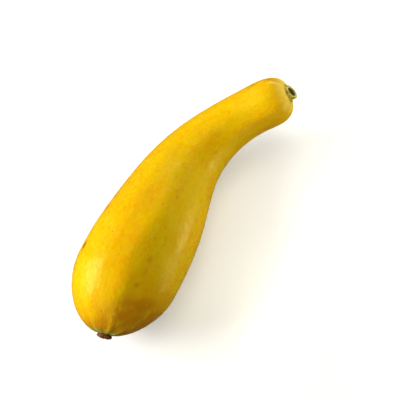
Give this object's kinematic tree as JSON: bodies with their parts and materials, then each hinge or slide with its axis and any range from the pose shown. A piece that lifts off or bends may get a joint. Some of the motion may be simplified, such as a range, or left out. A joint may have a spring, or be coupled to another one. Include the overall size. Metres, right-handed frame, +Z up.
{
  "type": "yellow summer squash",
  "caption": "Yellow straightneck summer squash lying on its side: pear-shaped bulb, bent rising neck, cut stem stub and corky blossom scar.",
  "frame": {"origin": "on the ground, under the middle of the squash's bounding box", "axes": "+X from the blossom end towards the stem end; +Y horizontal, towards the outside of the neck's bend; +Z up"},
  "size_m": [0.1818, 0.0666, 0.0593],
  "materials": {
    "skin": "waxy satin yellow squash skin",
    "stem": "pale yellow-green cut stalk, dull",
    "scar": "dry brown cork"
  },
  "bodies": {
    "root": {"fruit": "skin", "stem_stub": "stem", "blossom_scar": "scar"}
  },
  "joints": []
}
